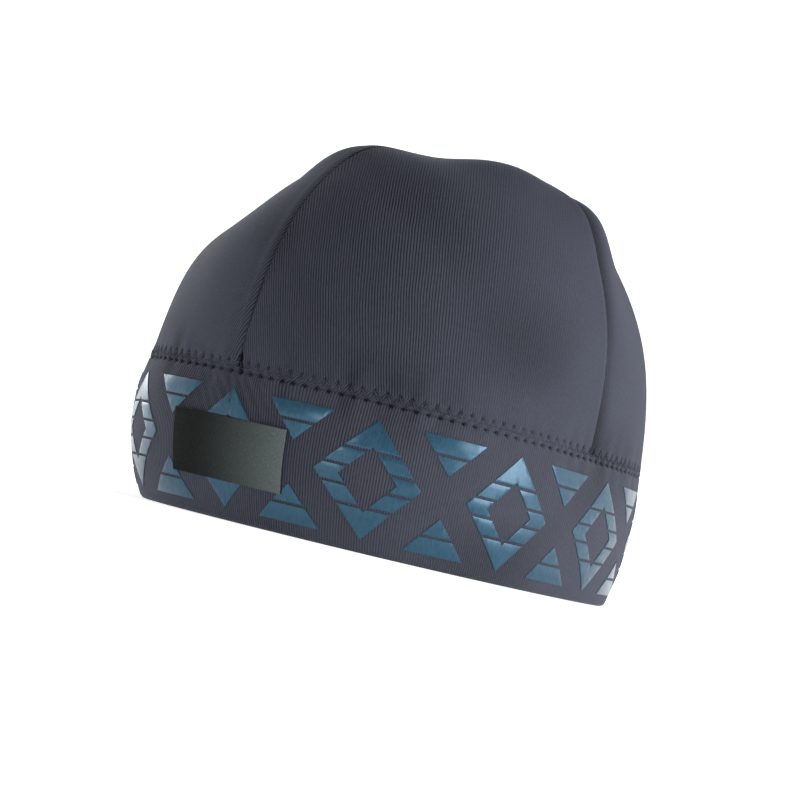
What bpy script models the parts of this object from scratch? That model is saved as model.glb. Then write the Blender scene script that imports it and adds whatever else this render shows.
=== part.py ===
"""Neoprene beanie: a crown of four gores on a doubled band, with a woven label at the front.

Metres, +Z up. The rim of the band rests on z = 0 under the middle of the crown.
The hat faces -Y, so the wearer's left is +X and the back is +Y.
"""
import math

import bmesh
import bpy
from mathutils import Matrix, Vector

# Hat sizes, on the outside of the cloth where the crown meets the band
HALF_WIDTH = 0.085
HALF_LENGTH = 0.098
BAND_HEIGHT = 0.052
CROWN_RISE = 0.101

# Cloth
CROWN_WALL = 0.0022
BAND_WALL = 0.0034
LABEL_WALL = 0.0009
SEAM_ROUNDING = 0.0007
RIM_ROUNDING = 0.0012
LABEL_ROUNDING = 0.0003
PIECE_GAP = 0.0003

# Label: its middle is this far above the rim, and this far to the wearer's left
LABEL_WIDTH = 0.0485
LABEL_HEIGHT = 0.0213
LABEL_MIDDLE = 0.0238
LABEL_ASIDE = 0.0022

# Powers of the round-cornered sections: 2 is an ellipse, more is boxier, less is more pointed
FOOT_POWER = 2.3
PEAK_POWER = 1.5
RISE_POWER = 2.45

# The plan goes from FOOT_POWER to PEAK_POWER between the foot and this elevation
PEAK_ELEVATION = math.radians(70)

# The four seams run down into a shallow hollow at the top
TOP_HOLLOW = 0.0065
TOP_HOLLOW_SPREAD = math.radians(26)

# Mesh density
GORE_CELLS = 10
BAND_CELLS = 7
LABEL_CELLS = (12, 5)

# Band sections: height as a share of BAND_HEIGHT; width and move to the left as shares of
# HALF_WIDTH; length and move to the back as shares of HALF_LENGTH
BAND_ROWS = (
    # height, width, length, left, back
    (0.00, 0.955, 0.925, 0.028, 0.018),
    (0.60, 1.018, 1.012, 0.000, 0.000),
    (1.00, 1.000, 1.000, 0.000, 0.000),
)

# Dents of the crown, in degrees round from the front to the wearer's left, degrees up from the
# top of the band, degrees of spread, and depth as a share of CROWN_RISE; less than 0 is a bulge
CROWN_DENTS = (
    # round, up, spread, depth
    (-33, 45, 15, 0.085),
    (-12, 56, 9, -0.026),
    (19, 70, 9, 0.013),
    (52, 70, 9, -0.030),
    (72, 66, 8, -0.031),
    (98, 56, 9, -0.054),
    (112, 38, 11, 0.012),
)

# Colour (linear), roughness and metallic of each cloth
SLATE_CLOTH = ((0.060, 0.064, 0.084, 1.0), 0.85, 0.0)
BAND_CLOTH = ((0.055, 0.058, 0.078, 1.0), 0.85, 0.0)
LABEL_CLOTH = ((0.016, 0.019, 0.021, 1.0), 0.55, 0.0)


def clear_scene():
    """Take out whatever the file opened with."""
    for thing in list(bpy.data.objects):
        bpy.data.objects.remove(thing, do_unlink=True)


def make_material(name, finish):
    """Principled material from a (colour, roughness, metallic) finish."""
    colour, roughness, metallic = finish
    material = bpy.data.materials.new(name)
    material.use_nodes = True
    shader = material.node_tree.nodes["Principled BSDF"]
    shader.inputs["Base Color"].default_value = colour
    shader.inputs["Roughness"].default_value = roughness
    shader.inputs["Metallic"].default_value = metallic
    material.diffuse_color = colour
    return material


def make_object(name, bm, collection, material):
    """Object named for its sub-part, from a bmesh that is used up."""
    mesh = bpy.data.meshes.new(name)
    bm.to_mesh(mesh)
    bm.free()
    mesh.materials.append(material)
    thing = bpy.data.objects.new(name, mesh)
    collection.objects.link(thing)
    return thing


def plan_reach(azimuth, half_width, half_length, power):
    """Distance from the middle to a round-cornered outline, in the direction of an azimuth."""
    across = abs(math.sin(azimuth)) / half_width
    along = abs(math.cos(azimuth)) / half_length
    return (across ** power + along ** power) ** (-1.0 / power)


def heading(azimuth):
    """Level unit vector at an azimuth, 0 at the front and growing to the wearer's left."""
    return Vector((math.sin(azimuth), -math.cos(azimuth), 0.0))


def crown_point(direction):
    """Point of the crown's outer face in a direction from the middle of its foot."""
    direction = direction.normalized()
    elevation = math.asin(max(-1.0, min(1.0, direction.z)))
    azimuth = math.atan2(direction.x, -direction.y)
    climb = max(0.0, min(1.0, elevation / PEAK_ELEVATION))
    power = FOOT_POWER + (PEAK_POWER - FOOT_POWER) * climb
    level = math.cos(elevation) / plan_reach(azimuth, HALF_WIDTH, HALF_LENGTH, power)
    upward = max(0.0, math.sin(elevation)) / CROWN_RISE
    reach = (level ** RISE_POWER + upward ** RISE_POWER) ** (-1.0 / RISE_POWER)
    from_top = (math.pi / 2 - elevation) / TOP_HOLLOW_SPREAD
    reach -= TOP_HOLLOW * math.exp(-from_top ** 2)
    for turn, up, spread, depth in CROWN_DENTS:
        middle = heading(math.radians(turn)) * math.cos(math.radians(up))
        middle.z = math.sin(math.radians(up))
        away = math.degrees(direction.angle(middle)) / spread
        reach -= depth * CROWN_RISE * math.exp(-away ** 2)
    return direction * reach + Vector((0.0, 0.0, BAND_HEIGHT))


def band_section(share):
    """Width, length and two moves of the band at a share of its height, smooth through the rows."""
    values = [0.0, 0.0, 0.0, 0.0]
    for row in BAND_ROWS:
        weight = 1.0
        for other in BAND_ROWS:
            if other is not row:
                weight *= (share - other[0]) / (row[0] - other[0])
        values = [value + weight * size for value, size in zip(values, row[1:])]
    return values


def band_point(azimuth, share):
    """Point of the band's outer face at an azimuth and a share of its height."""
    width, length, left, back = band_section(share)
    reach = plan_reach(azimuth, width * HALF_WIDTH, length * HALF_LENGTH, FOOT_POWER)
    middle = Vector((left * HALF_WIDTH, back * HALF_LENGTH, share * BAND_HEIGHT))
    return middle + heading(azimuth) * reach


def thicken(thing, wall, offset):
    """Give an open sheet an even wall, and keep the result as the object's mesh."""
    solidify = thing.modifiers.new("Wall", "SOLIDIFY")
    solidify.thickness = wall
    solidify.offset = offset
    solidify.use_even_offset = True
    depsgraph = bpy.context.evaluated_depsgraph_get()
    walled = bpy.data.meshes.new_from_object(thing.evaluated_get(depsgraph))
    thing.modifiers.remove(solidify)
    sheet = thing.data
    thing.data = walled
    bpy.data.meshes.remove(sheet)
    walled.name = thing.name


def round_edges(thing, width):
    """Soften the cut edges of a cloth piece, and shade its faces smooth."""
    bevel = thing.modifiers.new("Soft edges", "BEVEL")
    bevel.width = width
    bevel.segments = 2
    bevel.limit_method = "ANGLE"
    bevel.angle_limit = math.radians(50)
    thing.data.shade_smooth()
    thing.data.set_sharp_from_angle(angle=math.radians(50))


def make_gore(name, side, end, collection, material):
    """Gore of one quarter of the crown: side +1 is the wearer's left, end -1 is the front.

    The cells are three faces of a divided cube, blown out to the crown.
    """
    bm = bmesh.new()
    quarter = Matrix.Translation((side * 0.5, end * 0.5, 0.5))
    bmesh.ops.create_cube(bm, size=1.0, matrix=quarter)
    bmesh.ops.subdivide_edges(bm, edges=bm.edges[:], cuts=GORE_CELLS - 1, use_grid_fill=True)
    inside = [face for face in bm.faces if min(abs(c) for c in face.calc_center_median()) < 1e-6]
    bmesh.ops.delete(bm, geom=inside, context="FACES")
    for vertex in bm.verts:
        even = [math.tan(share * math.pi / 4) for share in vertex.co]
        vertex.co = crown_point(Vector(even))
    gore = make_object(name, bm, collection, material)
    thicken(gore, CROWN_WALL, offset=-1.0)
    # The seam edges are pressed flat, half a gap clear of the seam, and the foot half a gap
    # above the top of the band
    half_gap = PIECE_GAP / 2
    for vertex in gore.data.vertices:
        if abs(vertex.co.x) < CROWN_WALL:
            vertex.co.x = side * half_gap
        if abs(vertex.co.y) < CROWN_WALL:
            vertex.co.y = end * half_gap
        if vertex.co.z < BAND_HEIGHT + CROWN_WALL:
            vertex.co.z = BAND_HEIGHT + half_gap
    round_edges(gore, SEAM_ROUNDING)
    return gore


def make_band(collection, material):
    """Closed ring of doubled cloth, from the rim on z = 0 up to the foot of the crown."""
    bm = bmesh.new()
    bmesh.ops.create_cone(bm, cap_ends=False, segments=8 * GORE_CELLS, radius1=1.0, radius2=1.0,
                          depth=1.0, matrix=Matrix.Translation((0.0, 0.0, 0.5)))
    upright = [edge for edge in bm.edges if abs(edge.verts[0].co.z - edge.verts[1].co.z) > 0.5]
    bmesh.ops.subdivide_edges(bm, edges=upright, cuts=BAND_CELLS - 1)
    half_gap = PIECE_GAP / 2
    top_share = 1.0 - half_gap / BAND_HEIGHT
    for vertex in bm.verts:
        azimuth = math.atan2(vertex.co.x, -vertex.co.y)
        vertex.co = band_point(azimuth, vertex.co.z * top_share)
    band = make_object("band", bm, collection, material)
    thicken(band, BAND_WALL, offset=-1.0)
    # The rim lies flat on the ground, and the top is level under the crown
    for vertex in band.data.vertices:
        if vertex.co.z < BAND_WALL:
            vertex.co.z = 0.0
        if vertex.co.z > BAND_HEIGHT - BAND_WALL:
            vertex.co.z = BAND_HEIGHT - half_gap
    round_edges(band, RIM_ROUNDING)
    return band


def make_label(collection, material):
    """Flat label that follows the band's face at the middle of the front."""
    columns, rows = LABEL_CELLS
    bm = bmesh.new()
    bmesh.ops.create_grid(bm, x_segments=columns, y_segments=rows, size=0.5)
    front_reach = -band_point(0.0, LABEL_MIDDLE / BAND_HEIGHT).y
    for vertex in bm.verts:
        azimuth = (LABEL_ASIDE + vertex.co.x * LABEL_WIDTH) / front_reach
        height = LABEL_MIDDLE + vertex.co.y * LABEL_HEIGHT
        face = band_point(azimuth, height / BAND_HEIGHT)
        vertex.co = face + heading(azimuth) * PIECE_GAP
    label = make_object("label", bm, collection, material)
    thicken(label, LABEL_WALL, offset=1.0)
    round_edges(label, LABEL_ROUNDING)
    return label


def main():
    clear_scene()
    collection = bpy.data.collections.new("neoprene_beanie")
    bpy.context.scene.collection.children.link(collection)
    crown_cloth = make_material("crown_cloth", SLATE_CLOTH)
    band_cloth = make_material("band_cloth", BAND_CLOTH)
    label_cloth = make_material("label_cloth", LABEL_CLOTH)
    make_band(collection, band_cloth)
    for end_name, end in (("front", -1), ("back", 1)):
        for side_name, side in (("left", 1), ("right", -1)):
            make_gore(f"crown_{end_name}_{side_name}", side, end, collection, crown_cloth)
    make_label(collection, label_cloth)


main()
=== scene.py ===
# %% [markdown]
# # Neoprene beanie
#
# The hat is a crown of four neoprene gores on a doubled band. A flat cover stitch closes the
# joint between them, a raised film print runs round the band, and a small woven label sits at
# the front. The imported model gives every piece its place, and this script gives it its cloth.

import math

import bmesh
import bpy
import numpy as np
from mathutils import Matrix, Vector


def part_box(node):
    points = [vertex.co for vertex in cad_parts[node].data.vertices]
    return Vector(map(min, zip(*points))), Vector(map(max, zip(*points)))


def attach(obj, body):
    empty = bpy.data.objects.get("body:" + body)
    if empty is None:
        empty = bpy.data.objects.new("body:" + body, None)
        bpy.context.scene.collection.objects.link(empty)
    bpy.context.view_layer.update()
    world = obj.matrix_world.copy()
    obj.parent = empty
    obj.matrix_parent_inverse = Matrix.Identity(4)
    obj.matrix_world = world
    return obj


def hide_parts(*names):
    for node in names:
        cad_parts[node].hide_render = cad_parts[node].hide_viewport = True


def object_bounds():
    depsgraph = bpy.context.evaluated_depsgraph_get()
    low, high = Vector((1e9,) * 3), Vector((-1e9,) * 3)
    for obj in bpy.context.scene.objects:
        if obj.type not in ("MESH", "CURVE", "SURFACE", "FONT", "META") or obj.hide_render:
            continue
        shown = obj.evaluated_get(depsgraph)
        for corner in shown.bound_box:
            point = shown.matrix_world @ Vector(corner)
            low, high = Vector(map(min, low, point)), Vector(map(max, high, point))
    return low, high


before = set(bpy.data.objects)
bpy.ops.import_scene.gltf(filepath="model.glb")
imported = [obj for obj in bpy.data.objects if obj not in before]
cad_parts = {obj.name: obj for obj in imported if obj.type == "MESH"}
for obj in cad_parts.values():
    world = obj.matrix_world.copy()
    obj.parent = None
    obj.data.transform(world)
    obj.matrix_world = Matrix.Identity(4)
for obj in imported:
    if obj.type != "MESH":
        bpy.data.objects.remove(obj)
cad_low, cad_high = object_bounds()
cad_size = [round((high - low) * 1000, 1) for low, high in zip(cad_low, cad_high)]
print("the packed hat spans", cad_size, "mm")

# %% [markdown]
# ## The hat's form
#
# Neoprene keeps the form that it was cut to: round-cornered in plan at the foot, slightly
# pointed at the four seams near the top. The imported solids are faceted, and the facets would
# show in the sheen, so the same form is written again as a formula and measured against them.

# %% Sizes of the form, in metres
HALF_WIDTH = 0.085
HALF_LENGTH = 0.098
CROWN_RISE = 0.101
CROWN_WALL = 0.0022
BAND_WALL = 0.0034
SEAM_CLEARANCE = 0.00002
FOOT_POWER = 2.3
PEAK_POWER = 1.5
RISE_POWER = 2.45
PEAK_ELEVATION = math.radians(70)
TOP_HOLLOW = 0.0065
TOP_HOLLOW_SPREAD = math.radians(26)

# The joint lies halfway between the top of the band and the foot of the crown
JOINT_HEIGHT = (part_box("band")[1].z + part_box("crown_front_left")[0].z) / 2
print("the joint is", round(JOINT_HEIGHT * 1000, 2), "mm above the rim")

# Band sections: height as a share of the joint's; width and move to the left as shares of the
# half width; length and move to the back as shares of the half length
BAND_ROWS = (
    # height, width, length, left, back
    (0.00, 0.955, 0.925, 0.028, 0.018),
    (0.60, 1.018, 1.012, 0.000, 0.000),
    (1.00, 1.000, 1.000, 0.000, 0.000),
)

# Dents of the crown: degrees round from the front to the wearer's left, degrees up from the
# joint, degrees of spread, and depth as a share of the crown's rise; less than 0 is a bulge
CROWN_DENTS = (
    # round, up, spread, depth
    (-33, 45, 15, 0.085),
    (-12, 56, 9, -0.026),
    (19, 70, 9, 0.013),
    (52, 70, 9, -0.030),
    (72, 66, 8, -0.031),
    (98, 56, 9, -0.054),
    (112, 38, 11, 0.012),
)


# %% Faces of the crown and the band
def unit(vectors):
    """Vectors of length 1 in the same directions."""
    return vectors / np.linalg.norm(vectors, axis=-1, keepdims=True)


def plan_reach(azimuth, half_width, half_length, power):
    """Distance from the middle to a round-cornered outline, in the direction of an azimuth."""
    across = np.abs(np.sin(azimuth)) / half_width
    along = np.abs(np.cos(azimuth)) / half_length
    return (across ** power + along ** power) ** (-1.0 / power)


def heading(azimuth):
    """Level unit vector at an azimuth, 0 at the front and growing to the wearer's left."""
    azimuth = np.asarray(azimuth, float)
    return np.stack((np.sin(azimuth), -np.cos(azimuth), np.zeros_like(azimuth)), axis=-1)


def way_to(turn, up):
    """Unit vector so many degrees round from the front and up from level."""
    way = heading(math.radians(turn)) * math.cos(math.radians(up))
    way[2] = math.sin(math.radians(up))
    return way


def crown_face(direction):
    """Points of the crown's outer face in directions from the middle of its foot."""
    direction = unit(direction)
    elevation = np.arcsin(np.clip(direction[..., 2], -1, 1))
    azimuth = np.arctan2(direction[..., 0], -direction[..., 1])
    power = FOOT_POWER + (PEAK_POWER - FOOT_POWER) * np.clip(elevation / PEAK_ELEVATION, 0, 1)
    level = np.cos(elevation) / plan_reach(azimuth, HALF_WIDTH, HALF_LENGTH, power)
    upward = np.clip(np.sin(elevation), 0, 1) / CROWN_RISE
    reach = (level ** RISE_POWER + upward ** RISE_POWER) ** (-1.0 / RISE_POWER)
    reach = reach - TOP_HOLLOW * np.exp(-((math.pi / 2 - elevation) / TOP_HOLLOW_SPREAD) ** 2)
    for turn, up, spread, depth in CROWN_DENTS:
        away = np.degrees(np.arccos(np.clip(direction @ way_to(turn, up), -1, 1))) / spread
        reach = reach - depth * CROWN_RISE * np.exp(-away ** 2)
    return direction * reach[..., None] + (0.0, 0.0, JOINT_HEIGHT)


def band_section(share):
    """Width, length and two moves of the band at shares of its height."""
    values = np.zeros(share.shape + (4,))
    for row in BAND_ROWS:
        weight = np.ones_like(share)
        for other in BAND_ROWS:
            if other is not row:
                weight = weight * (share - other[0]) / (row[0] - other[0])
        values += weight[..., None] * np.array(row[1:])
    return np.moveaxis(values, -1, 0)


def band_face(azimuth, share):
    """Points of the band's outer face at azimuths and shares of its height."""
    width, length, left, back = band_section(share)
    reach = plan_reach(azimuth, width * HALF_WIDTH, length * HALF_LENGTH, FOOT_POWER)
    middle = np.stack((left * HALF_WIDTH, back * HALF_LENGTH, share * JOINT_HEIGHT), axis=-1)
    return middle + heading(azimuth) * reach[..., None]


# %% Measure the formula against a packed gore
turn, up = np.meshgrid(np.radians(np.arange(91)), np.radians(np.arange(91)))
level_part = heading(turn) * np.cos(up)[..., None]
upward_part = np.sin(up)[..., None] * (0.0, 0.0, 1.0)
quarter = crown_face(level_part + upward_part).reshape(-1, 3)
gore_low, gore_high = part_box("crown_front_left")
off = (quarter[:, 0].max() - gore_high.x, quarter[:, 1].min() - gore_low.y,
       quarter[:, 2].max() - gore_high.z)
print("the formula is off the packed gore by", [round(size * 1000, 2) for size in off], "mm")


# %% Which way the faces look
def crown_normal(direction):
    """Outward unit normals of the crown's face, from small steps across and up."""
    step = 1e-3
    upright = np.array((0.0, 0.0, 1.0))
    sideways = np.array((1.0, 0.0, 0.0))
    spare = np.where(np.abs(direction[..., 2:]) < 0.9, upright, sideways)
    across = unit(np.cross(direction, spare))
    up = np.cross(direction, across)
    ways = [crown_face(direction + step * way) - crown_face(direction - step * way)
            for way in (across, up)]
    normal = unit(np.cross(*ways))
    return normal * np.sign((normal * direction).sum(-1, keepdims=True))


def band_normal(azimuth, share):
    """Outward unit normals of the band's face, from small steps round and up."""
    step = 1e-3
    way_round = band_face(azimuth + step, share) - band_face(azimuth - step, share)
    way_up = band_face(azimuth, share + step) - band_face(azimuth, share - step)
    return unit(np.cross(way_round, way_up))


# %% Distance round the joint
around = np.linspace(-math.pi, math.pi, 2881)
outline = band_face(around, np.ones_like(around))
run_round = np.concatenate(((0.0,), np.cumsum(np.linalg.norm(np.diff(outline, axis=0), axis=1))))
GIRTH = run_round[-1]
print("the joint is", round(GIRTH * 1000, 1), "mm round")


def run_at(azimuth):
    """Distance round the joint at an azimuth, from the middle of the back."""
    return np.interp(azimuth, around, run_round)


def azimuth_at(run):
    """Azimuth at a distance round the joint from the middle of the back."""
    return np.interp(np.mod(run, GIRTH), run_round, around)


# %% [markdown]
# ## Relief of the cloth
#
# The crown and the band meet edge to edge under a flat cover stitch. Its thread goes down
# through a needle hole on each side of the joint, so it presses slanted grooves into the
# neoprene and lets small cushions swell between them. The stitches stand out against the light
# at the hat's sides, so this relief is real height and no bump: one function that the crown,
# the band and the thread all share.

# %% The cover stitch
STITCH_PITCH_WANTED = 0.0043
STITCHES = round(GIRTH / STITCH_PITCH_WANTED)
STITCH_PITCH = GIRTH / STITCHES
HOLE_ROW = 0.0018
STITCH_LEAN = 0.5

# Depth and spread of the thread's marks. A share of a hole's distances is all that counts one
# way, so that the low holes are wide and the high ones tall
THREAD_PRESS = 0.00014
THREAD_SPREAD = 0.0004
LOW_HOLE_PRESS = 0.00085
LOW_HOLE_SPREAD = 0.0006
LOW_HOLE_SIDEWAYS = 0.8
HIGH_HOLE_PRESS = 0.7 * LOW_HOLE_PRESS
HIGH_HOLE_SPREAD = 0.0005
HIGH_HOLE_UPRIGHT = 0.6
CUSHION = 0.00022
CUSHION_EDGE = 0.0007
COVER_BORDER = 0.0010
ROW_CREASE = 0.00042
CREASE_SPREAD = 0.00045
DEEPEST_MARK = 0.0014

# The pucker at the front seam's foot, from above the joint to a hole beside it
FOOT_PUCKER = 0.00095
PUCKER_SPREAD = 0.0006
PUCKER_TOP = 0.0048
PUCKER_ASIDE = 0.0022
print(STITCHES, "stitches,", round(STITCH_PITCH * 1000, 2), "mm each")


def stitch_legs(stitch):
    """The two slanted legs of a stitch, each from hole to hole."""
    low = (stitch * STITCH_PITCH, -HOLE_ROW)
    high = ((stitch + STITCH_LEAN) * STITCH_PITCH, HOLE_ROW)
    next_low = ((stitch + 1) * STITCH_PITCH, -HOLE_ROW)
    return (low, high), (high, next_low)


def from_leg(run, height, start, end):
    """Distance from points of the joint to a straight leg of thread."""
    way = np.subtract(end, start)
    away = np.stack((run - start[0], height - start[1]), axis=-1)
    share = np.clip((away @ way) / (way @ way), 0, 1)
    return np.linalg.norm(away - share[..., None] * way, axis=-1)


def stitch_relief(run, height):
    """Height of the relief at a distance round the joint and a height above it."""
    place = np.mod(run, STITCH_PITCH)
    leg = np.full_like(place, 1.0)
    high_hole = np.full_like(place, 1.0)
    low_hole = np.full_like(place, 1.0)
    for stitch in (-1, 0, 1):
        legs = stitch_legs(stitch)
        for start, end in legs:
            leg = np.minimum(leg, from_leg(place, height, start, end))
        low, high = legs[0]
        upright = (height - high[1]) * HIGH_HOLE_UPRIGHT
        high_hole = np.minimum(high_hole, np.hypot(place - high[0], upright))
        sideways = (place - low[0]) * LOW_HOLE_SIDEWAYS
        low_hole = np.minimum(low_hole, np.hypot(sideways, height - low[1]))
    covered = np.exp(-(np.abs(height) / (HOLE_ROW + COVER_BORDER)) ** 4)
    cushions = CUSHION * covered * (1 - np.exp(-(leg / CUSHION_EDGE) ** 2))
    grooves = THREAD_PRESS * np.exp(-(leg / THREAD_SPREAD) ** 2)
    holes = HIGH_HOLE_PRESS * np.exp(-(high_hole / HIGH_HOLE_SPREAD) ** 2)
    holes = holes + LOW_HOLE_PRESS * np.exp(-(low_hole / LOW_HOLE_SPREAD) ** 2)
    creases = ROW_CREASE * np.exp(-((height + HOLE_ROW) / CREASE_SPREAD) ** 2)
    pucker = from_leg(run, height, (GIRTH / 2, PUCKER_TOP),
                      (GIRTH / 2 + PUCKER_ASIDE, -HOLE_ROW))
    puckers = FOOT_PUCKER * np.exp(-(pucker / PUCKER_SPREAD) ** 2)
    return np.maximum(cushions - grooves - holes - creases - puckers, -DEEPEST_MARK)


# %% Ripples and seams
RIPPLES = (
    # waves round the joint, depth, turn
    (31, 0.00010, 0.4),
    (53, 0.00008, 2.1),
    (77, 0.00005, 4.0),
)
RIPPLE_HEIGHT = 0.003
RIPPLE_SPREAD = 0.007
UNEVEN_DEPTH = 0.00016

# How a gore's face falls to its seams, on each side of them: the lip's height, and the depth
# and spread of the valley. The back gores are tucked under the side seams
SEAM_ROLL = 0.0006
SEAM_DROP = 0.0003
LIP_AWAY = 0.0026
LIP_SPREAD = 0.0018
RIGHT_OF_SEAM = (0.0003, 0.0002, 0.0040)
LEFT_OF_SEAM = (0.00006, 0.0002, 0.0040)
FRONT_OF_SEAM = (0.00015, 0.0001, 0.0040)
BACK_OF_SEAM = (0.0, 0.0009, 0.0052)
DEEPEST = 0.0017


def ripples(run, height):
    """Soft waves where the cover stitch gathers the cloth."""
    waves = sum(depth * np.sin(math.tau * count * run / GIRTH + turn)
                for count, depth, turn in RIPPLES)
    return waves * np.exp(-(np.abs(height) - RIPPLE_HEIGHT) ** 2 / RIPPLE_SPREAD ** 2)


def seam_relief(away, lip, depth, width):
    """Fall of a gore's face towards its seam: a rounded edge in a shallow valley, with a lip."""
    inside = np.clip(1 - away / SEAM_ROLL, 0, 1)
    edge = SEAM_DROP * (1 - np.sqrt(1 - inside ** 2))
    valley = depth * np.exp(-(away / width) ** 2)
    swell = lip * np.exp(-((away - LIP_AWAY) / LIP_SPREAD) ** 2)
    return swell - edge - valley


def unevenness(points):
    """Long faint waves of cloth that was shaped by hand."""
    x, y, z = np.moveaxis(points, -1, 0)
    return UNEVEN_DEPTH * (np.sin(71 * x + 43 * y + 90 * z) + np.sin(60 * y - 83 * z + 1.3)
                           + 0.6 * np.sin(140 * x - 95 * y + 75 * z + 2.2))


def crown_relief(points, direction):
    """Relief of the crown's outer face."""
    azimuth = np.arctan2(direction[:, 0], -direction[:, 1])
    run = run_at(azimuth)
    height = points[:, 2] - JOINT_HEIGHT
    relief = stitch_relief(run, height) + ripples(run, height) + unevenness(points)
    for place, low_side, high_side in ((points[:, 0], RIGHT_OF_SEAM, LEFT_OF_SEAM),
                                       (points[:, 1], FRONT_OF_SEAM, BACK_OF_SEAM)):
        lip, depth, width = np.where(place[:, None] < 0, low_side, high_side).T
        relief = relief + seam_relief(np.abs(place), lip, depth, width)
    return np.maximum(relief, -DEEPEST)


# Wrinkles that the front seam's foot pulls into the band
PULL_WAVE = 0.0042
PULL_DEPTH = 0.00022
PULL_SLANT = 0.75
PULL_SPREAD = 0.013
PULL_BELOW = 0.010
PULL_TALL = 0.007


def band_relief(points, azimuth):
    """Relief of the band's outer face."""
    run = run_at(azimuth)
    height = points[:, 2] - JOINT_HEIGHT
    from_front = run - GIRTH / 2
    slanted = (from_front + PULL_SLANT * height) / PULL_WAVE
    pulled = np.exp(-(from_front / PULL_SPREAD) ** 2
                    - ((height + PULL_BELOW) / PULL_TALL) ** 2)
    pulls = PULL_DEPTH * np.sin(math.tau * slanted) * pulled
    return stitch_relief(run, height) + ripples(run, height) + unevenness(points) + pulls


# %% [markdown]
# ## Modelling helpers
#
# Each piece starts from a primitive, is cut into cells in edit mode, and is then drawn onto
# the form by moving its vertices, as a sculptor would. A few helpers keep the steps short.

# %% Modelling helpers
FULLY_PRESSED = 0.001
SHARP_EDGE = math.radians(50)


def start_piece(name, add, **sizes):
    """Add a primitive with nothing else selected, with its place in its mesh."""
    if bpy.context.object is not None and bpy.context.object.mode != "OBJECT":
        bpy.ops.object.mode_set(mode="OBJECT")
    bpy.ops.object.select_all(action="DESELECT")
    add(**sizes)
    piece = bpy.context.object
    piece.name = name
    piece.data.name = name
    bpy.ops.object.transform_apply(location=True, rotation=True, scale=True)
    return piece


def pick(piece, kind, test):
    """Go into edit mode with only the faces or edges selected that pass the test."""
    bpy.ops.object.mode_set(mode="EDIT")
    bpy.ops.mesh.select_mode(type=kind)
    bpy.ops.mesh.select_all(action="DESELECT")
    cage = bmesh.from_edit_mesh(piece.data)
    for part in cage.faces if kind == "FACE" else cage.edges:
        if test(part):
            part.select_set(True)
    bmesh.update_edit_mesh(piece.data)


def places(piece):
    """Places of a piece's vertices."""
    flat = np.empty(len(piece.data.vertices) * 3)
    piece.data.vertices.foreach_get("co", flat)
    return flat.reshape(-1, 3)


def put(piece, points):
    """Move a piece's vertices to new places."""
    piece.data.vertices.foreach_set("co", np.ascontiguousarray(points, float).ravel())
    piece.data.update()


def take_up(piece):
    """Make a piece the only one selected, and the active one."""
    bpy.ops.object.select_all(action="DESELECT")
    piece.select_set(True)
    bpy.context.view_layer.objects.active = piece


def apply_modifier(piece, kind, **values):
    """Add a modifier with its values, and apply it."""
    modifier = piece.modifiers.new(kind.title(), kind)
    for key, value in values.items():
        setattr(modifier, key, value)
    take_up(piece)
    bpy.ops.object.modifier_apply(modifier=modifier.name)


def map_cloth(piece, across, along, wrap=None):
    """Write a UV map in metres of cloth, across the ribs and along them."""
    mesh = piece.data
    corner = np.empty(len(mesh.loops), int)
    mesh.loops.foreach_get("vertex_index", corner)
    across = across[corner]
    if wrap is not None:
        starts = np.empty(len(mesh.polygons), int)
        totals = np.empty(len(mesh.polygons), int)
        mesh.polygons.foreach_get("loop_start", starts)
        mesh.polygons.foreach_get("loop_total", totals)
        first = np.repeat(across[starts], totals)
        across = across - wrap * np.round((across - first) / wrap)
    layer = mesh.uv_layers.get("cloth") or mesh.uv_layers.new(name="cloth")
    layer.data.foreach_set("uv", np.stack((across, along[corner]), axis=-1).ravel())
    for other in [other for other in mesh.uv_layers if other.name != "cloth"]:
        mesh.uv_layers.remove(other)


def mark(piece, name, values):
    """Write a number for each vertex, which the materials read by its name."""
    layer = piece.data.attributes.new(name, "FLOAT", "POINT")
    layer.data.foreach_set("value", np.ascontiguousarray(values, np.float32))


# The cloth materials paint shade from this mark, darker where the relief sinks
def mark_pressed(piece, relief):
    """Mark how far the relief sinks, for the vertices of the outer face, which come first."""
    pressed = np.zeros(len(piece.data.vertices))
    pressed[:len(relief)] = np.clip(-relief / FULLY_PRESSED, 0, 1)
    mark(piece, "pressed", pressed)


def paint(piece, material):
    """Give a piece one material all over."""
    piece.data.materials.clear()
    piece.data.materials.append(material)


def triangles(piece):
    """How many triangles a piece has."""
    return sum(len(face.vertices) - 2 for face in piece.data.polygons)


# %% [markdown]
# ## Crown gores
#
# Each gore is one quarter of the crown, cut from flat neoprene about two millimetres thick.
# It starts as a quarter of a divided cube, blown out to the hat's form, because its cells then
# stay nearly square everywhere. The cells by the seams and the foot are divided once more, for
# the rolled edges and the stitches.

# %% Shape one gore
GORE_CELLS = 62
FINE_STRIP = 3 / GORE_CELLS
FINE_FOOT = 4 / GORE_CELLS
FINE_CUTS = 2
ON_PLANE = 1e-6
AT_SEAM = 0.0006
AT_FOOT = 0.0003


def by_an_edge(face):
    """Whether a cell of the cube lies by the gore's foot or by one of its seams."""
    middle = face.calc_center_median()
    return middle.z < FINE_FOOT or min(abs(middle.x), abs(middle.y)) < FINE_STRIP


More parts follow.
